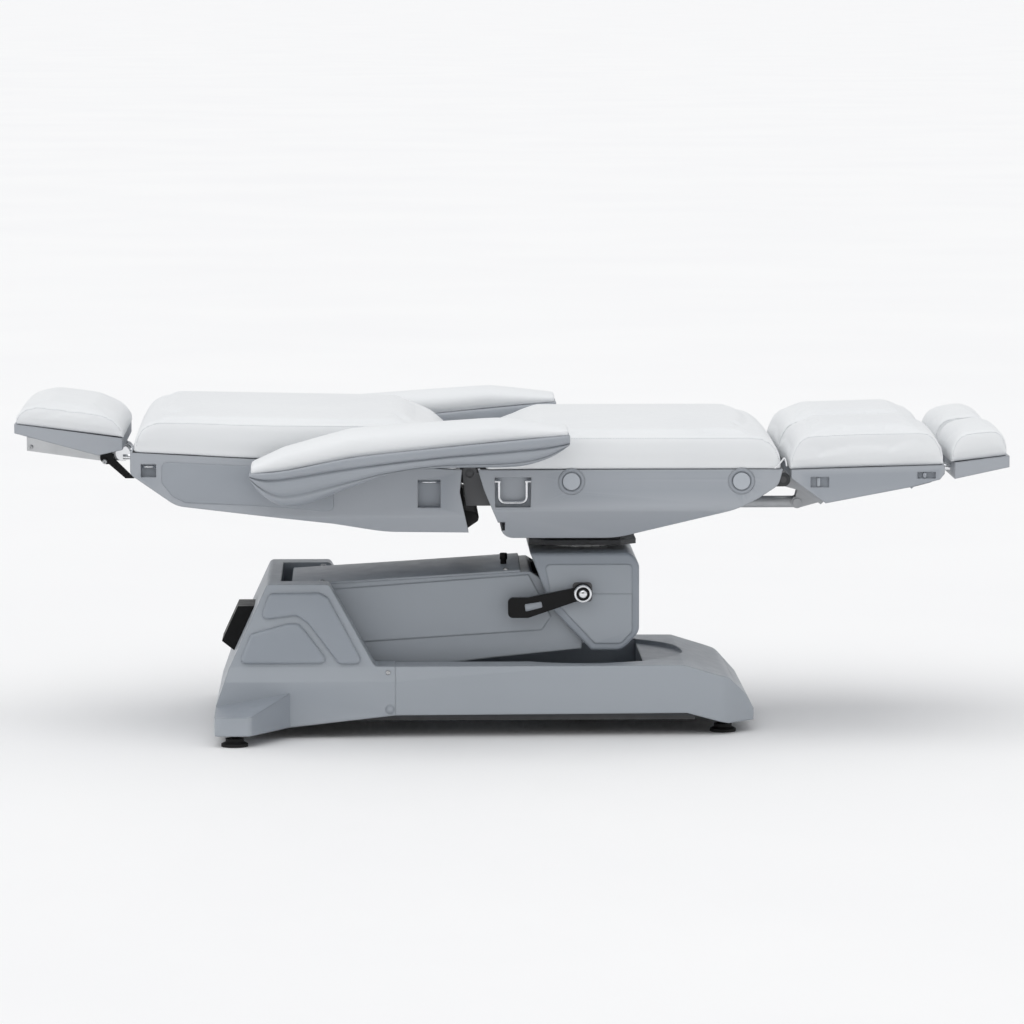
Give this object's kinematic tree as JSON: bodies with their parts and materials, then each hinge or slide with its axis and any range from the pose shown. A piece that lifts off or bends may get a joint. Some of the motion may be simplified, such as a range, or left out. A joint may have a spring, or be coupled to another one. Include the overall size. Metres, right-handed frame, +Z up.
{
  "type": "podiatry chair",
  "caption": "Podiatry treatment chair with a lift base, swivel seat, reclining back with linked armrests, sliding headrest and split leg rests with pull-out footrests.",
  "frame": {"origin": "on the floor, below the middle of the bounding box", "axes": "+X towards the feet, +Y to the left of the person in the chair, +Z up"},
  "size_m": [1.86, 0.85, 0.6366],
  "materials": {
    "frame_steel": "satin",
    "bright_steel": "satin",
    "chrome": "polished",
    "cover_grey": "satin",
    "shell_grey": "satin",
    "leatherette": "satin",
    "black_plastic": "satin",
    "foot_rubber": "matte",
    "aluminium": "satin"
  },
  "bodies": {
    "base": {"base_frame": "frame_steel", "rear_base_cover": "cover_grey", "front_base_cover": "cover_grey", "mains_inlet": "black_plastic", "base_pivot_shafts": "bright_steel"},
    "foot_rear_left": {"levelling_foot_rear_left": "foot_rubber"},
    "foot_rear_right": {"levelling_foot_rear_right": "foot_rubber"},
    "foot_front_left": {"levelling_foot_front_left": "foot_rubber"},
    "foot_front_right": {"levelling_foot_front_right": "foot_rubber"},
    "lift_arm": {"arm_frame": "frame_steel", "arm_cover": "cover_grey", "arm_top_cover": "cover_grey"},
    "links": {"tie_links": "frame_steel"},
    "lift_head": {"head_frame": "frame_steel", "head_cover": "cover_grey", "swivel_bearing": "bright_steel", "head_pivot_shafts": "bright_steel"},
    "lock_lever": {"swivel_lever": "black_plastic", "swivel_lever_hub": "chrome"},
    "motor": {"lift_motor": "black_plastic"},
    "motor_rod": {"lift_rod": "bright_steel"},
    "seat": {"swivel_plate": "bright_steel", "seat_frame": "frame_steel", "seat_shell": "shell_grey", "seat_cushion": "leatherette", "seat_caps": "shell_grey", "hinge_guards": "frame_steel", "hinge_pins": "bright_steel", "back_motor": "black_plastic"},
    "recline_rod": {"back_rod": "bright_steel"},
    "ring_right": {"d_ring_right": "chrome"},
    "ring_left": {"d_ring_left": "chrome"},
    "back": {"back_frame": "frame_steel", "back_shell": "shell_grey", "back_cushion": "leatherette"},
    "armrest_right": {"armrest_shell_right": "shell_grey", "armrest_pad_right": "leatherette"},
    "armrest_left": {"armrest_shell_left": "shell_grey", "armrest_pad_left": "leatherette"},
    "headrest_slider": {"headrest_bracket": "chrome"},
    "headrest": {"headrest_rails": "aluminium", "headrest_shell": "shell_grey", "headrest_cushion": "leatherette"},
    "tilt_lever": {"headrest_lever": "black_plastic"},
    "leg_right": {"leg_bracket_right": "aluminium", "leg_shell_right": "shell_grey", "leg_cushion_right": "leatherette"},
    "strut_right": {"strut_cylinder_right": "aluminium"},
    "foot_right": {"footrest_shell_right": "shell_grey", "footrest_cushion_right": "leatherette", "footrest_rails_right": "chrome"},
    "release_right": {"leg_release_right": "black_plastic"},
    "leg_left": {"leg_bracket_left": "aluminium", "leg_shell_left": "shell_grey", "leg_cushion_left": "leatherette"},
    "strut_left": {"strut_cylinder_left": "aluminium"},
    "foot_left": {"footrest_shell_left": "shell_grey", "footrest_cushion_left": "leatherette", "footrest_rails_left": "chrome"},
    "release_left": {"leg_release_left": "black_plastic"}
  },
  "joints": [
    {"name": "level_rear_left", "type": "hinge", "parent": "base", "child": "foot_rear_left", "pos_m": [-0.516, 0.333, 0.012], "axis": [0, 0, 1], "continuous": true},
    {"name": "level_rear_right", "type": "hinge", "parent": "base", "child": "foot_rear_right", "pos_m": [-0.516, -0.333, 0.012], "axis": [0, 0, 1], "continuous": true},
    {"name": "level_front_left", "type": "hinge", "parent": "base", "child": "foot_front_left", "pos_m": [0.405, 0.159, 0.012], "axis": [0, 0, 1], "continuous": true},
    {"name": "level_front_right", "type": "hinge", "parent": "base", "child": "foot_front_right", "pos_m": [0.405, -0.159, 0.012], "axis": [0, 0, 1], "continuous": true},
    {"name": "lift", "type": "hinge", "parent": "base", "child": "lift_arm", "pos_m": [-0.371, 0, 0.248], "axis": [0, -1, 0], "range_deg": [-6.8, 32.2]},
    {"name": "head_level", "type": "hinge", "parent": "lift_arm", "child": "lift_head", "pos_m": [0.174, 0, 0.278], "axis": [0, -1, 0], "range_deg": [-33, 8]},
    {"name": "link_swing", "type": "hinge", "parent": "base", "child": "links", "pos_m": [-0.391, 0, 0.178], "axis": [0, -1, 0], "range_deg": [-8, 33]},
    {"name": "motor_swing", "type": "hinge", "parent": "base", "child": "motor", "pos_m": [-0.343, 0, 0.096], "axis": [0, -1, 0], "range_deg": [-7, 28]},
    {"name": "motor_stroke", "type": "slide", "parent": "motor", "child": "motor_rod", "axis": [0.9182, 0, 0.3961], "range_m": [-0.02, 0.085]},
    {"name": "swivel", "type": "hinge", "parent": "lift_head", "child": "seat", "pos_m": [0.141, 0, 0.34], "axis": [0, 0, 1], "range_deg": [-120, 120]},
    {"name": "swivel_lock", "type": "hinge", "parent": "lift_head", "child": "lock_lever", "pos_m": [0.138, -0.157, 0.266], "axis": [0, -1, 0], "range_deg": [0, 35]},
    {"name": "back_recline", "type": "hinge", "parent": "seat", "child": "back", "pos_m": [-0.077, 0, 0.503], "axis": [0, 1, 0], "range_deg": [0, 70]},
    {"name": "recline_stroke", "type": "slide", "parent": "seat", "child": "recline_rod", "axis": [-1, 0, 0], "range_m": [0, 0.091]},
    {"name": "armrest_right_level", "type": "hinge", "parent": "back", "child": "armrest_right", "pos_m": [-0.321, -0.316, 0.5], "axis": [0, 1, 0], "range_deg": [-69, 1]},
    {"name": "armrest_left_level", "type": "hinge", "parent": "back", "child": "armrest_left", "pos_m": [-0.321, 0.316, 0.5], "axis": [0, 1, 0], "range_deg": [-69, 1]},
    {"name": "headrest_extend", "type": "slide", "parent": "back", "child": "headrest_slider", "axis": [-1, 0, 0], "range_m": [0, 0.12]},
    {"name": "headrest_tilt", "type": "hinge", "parent": "headrest_slider", "child": "headrest", "pos_m": [-0.732, 0, 0.522], "axis": [0, 1, 0], "range_deg": [-25, 8]},
    {"name": "tilt_lock", "type": "hinge", "parent": "headrest", "child": "tilt_lever", "pos_m": [-0.762, -0.07, 0.516], "axis": [0, 1, 0], "range_deg": [0, 40]},
    {"name": "ring_right_swing", "type": "hinge", "parent": "seat", "child": "ring_right", "pos_m": [0.003, -0.292, 0.49], "axis": [-1, 0, 0], "range_deg": [0, 90]},
    {"name": "leg_right_fold", "type": "hinge", "parent": "seat", "child": "leg_right", "pos_m": [0.509, -0.156, 0.49], "axis": [0, 1, 0], "range_deg": [0, 75]},
    {"name": "strut_right_stroke", "type": "slide", "parent": "seat", "child": "strut_right", "axis": [-1, 0, 0], "range_m": [0, 0.069]},
    {"name": "foot_right_extend", "type": "slide", "parent": "leg_right", "child": "foot_right", "axis": [1, 0, 0], "range_m": [0, 0.11]},
    {"name": "release_right_press", "type": "hinge", "parent": "leg_right", "child": "release_right", "pos_m": [0.757, -0.1565, 0.472], "axis": [0, -1, 0], "range_deg": [0, 12], "stiffness_Nm_per_rad": 0.6, "springref_deg": -2.86},
    {"name": "ring_left_swing", "type": "hinge", "parent": "seat", "child": "ring_left", "pos_m": [0.003, 0.292, 0.49], "axis": [1, 0, 0], "range_deg": [0, 90]},
    {"name": "leg_left_fold", "type": "hinge", "parent": "seat", "child": "leg_left", "pos_m": [0.509, 0.156, 0.49], "axis": [0, 1, 0], "range_deg": [0, 75]},
    {"name": "strut_left_stroke", "type": "slide", "parent": "seat", "child": "strut_left", "axis": [-1, 0, 0], "range_m": [0, 0.069]},
    {"name": "foot_left_extend", "type": "slide", "parent": "leg_left", "child": "foot_left", "axis": [1, 0, 0], "range_m": [0, 0.11]},
    {"name": "release_left_press", "type": "hinge", "parent": "leg_left", "child": "release_left", "pos_m": [0.757, 0.1565, 0.472], "axis": [0, -1, 0], "range_deg": [0, 12], "stiffness_Nm_per_rad": 0.6, "springref_deg": -2.86}
  ],
  "couplings": [
    {"joint": "head_level", "follows": "lift", "ratio": -1},
    {"joint": "link_swing", "follows": "lift", "ratio": 1},
    {"joint": "motor_swing", "follows": "lift", "ratio": 0.835},
    {"joint": "motor_stroke", "follows": "lift", "m_per_rad": 0.139},
    {"joint": "recline_stroke", "follows": "back_recline", "m_per_rad": 0.07092},
    {"joint": "armrest_right_level", "follows": "back_recline", "ratio": -0.9},
    {"joint": "armrest_left_level", "follows": "back_recline", "ratio": -0.9},
    {"joint": "strut_right_stroke", "follows": "leg_right_fold", "m_per_rad": 0.0498},
    {"joint": "strut_left_stroke", "follows": "leg_left_fold", "m_per_rad": 0.0498}
  ]
}
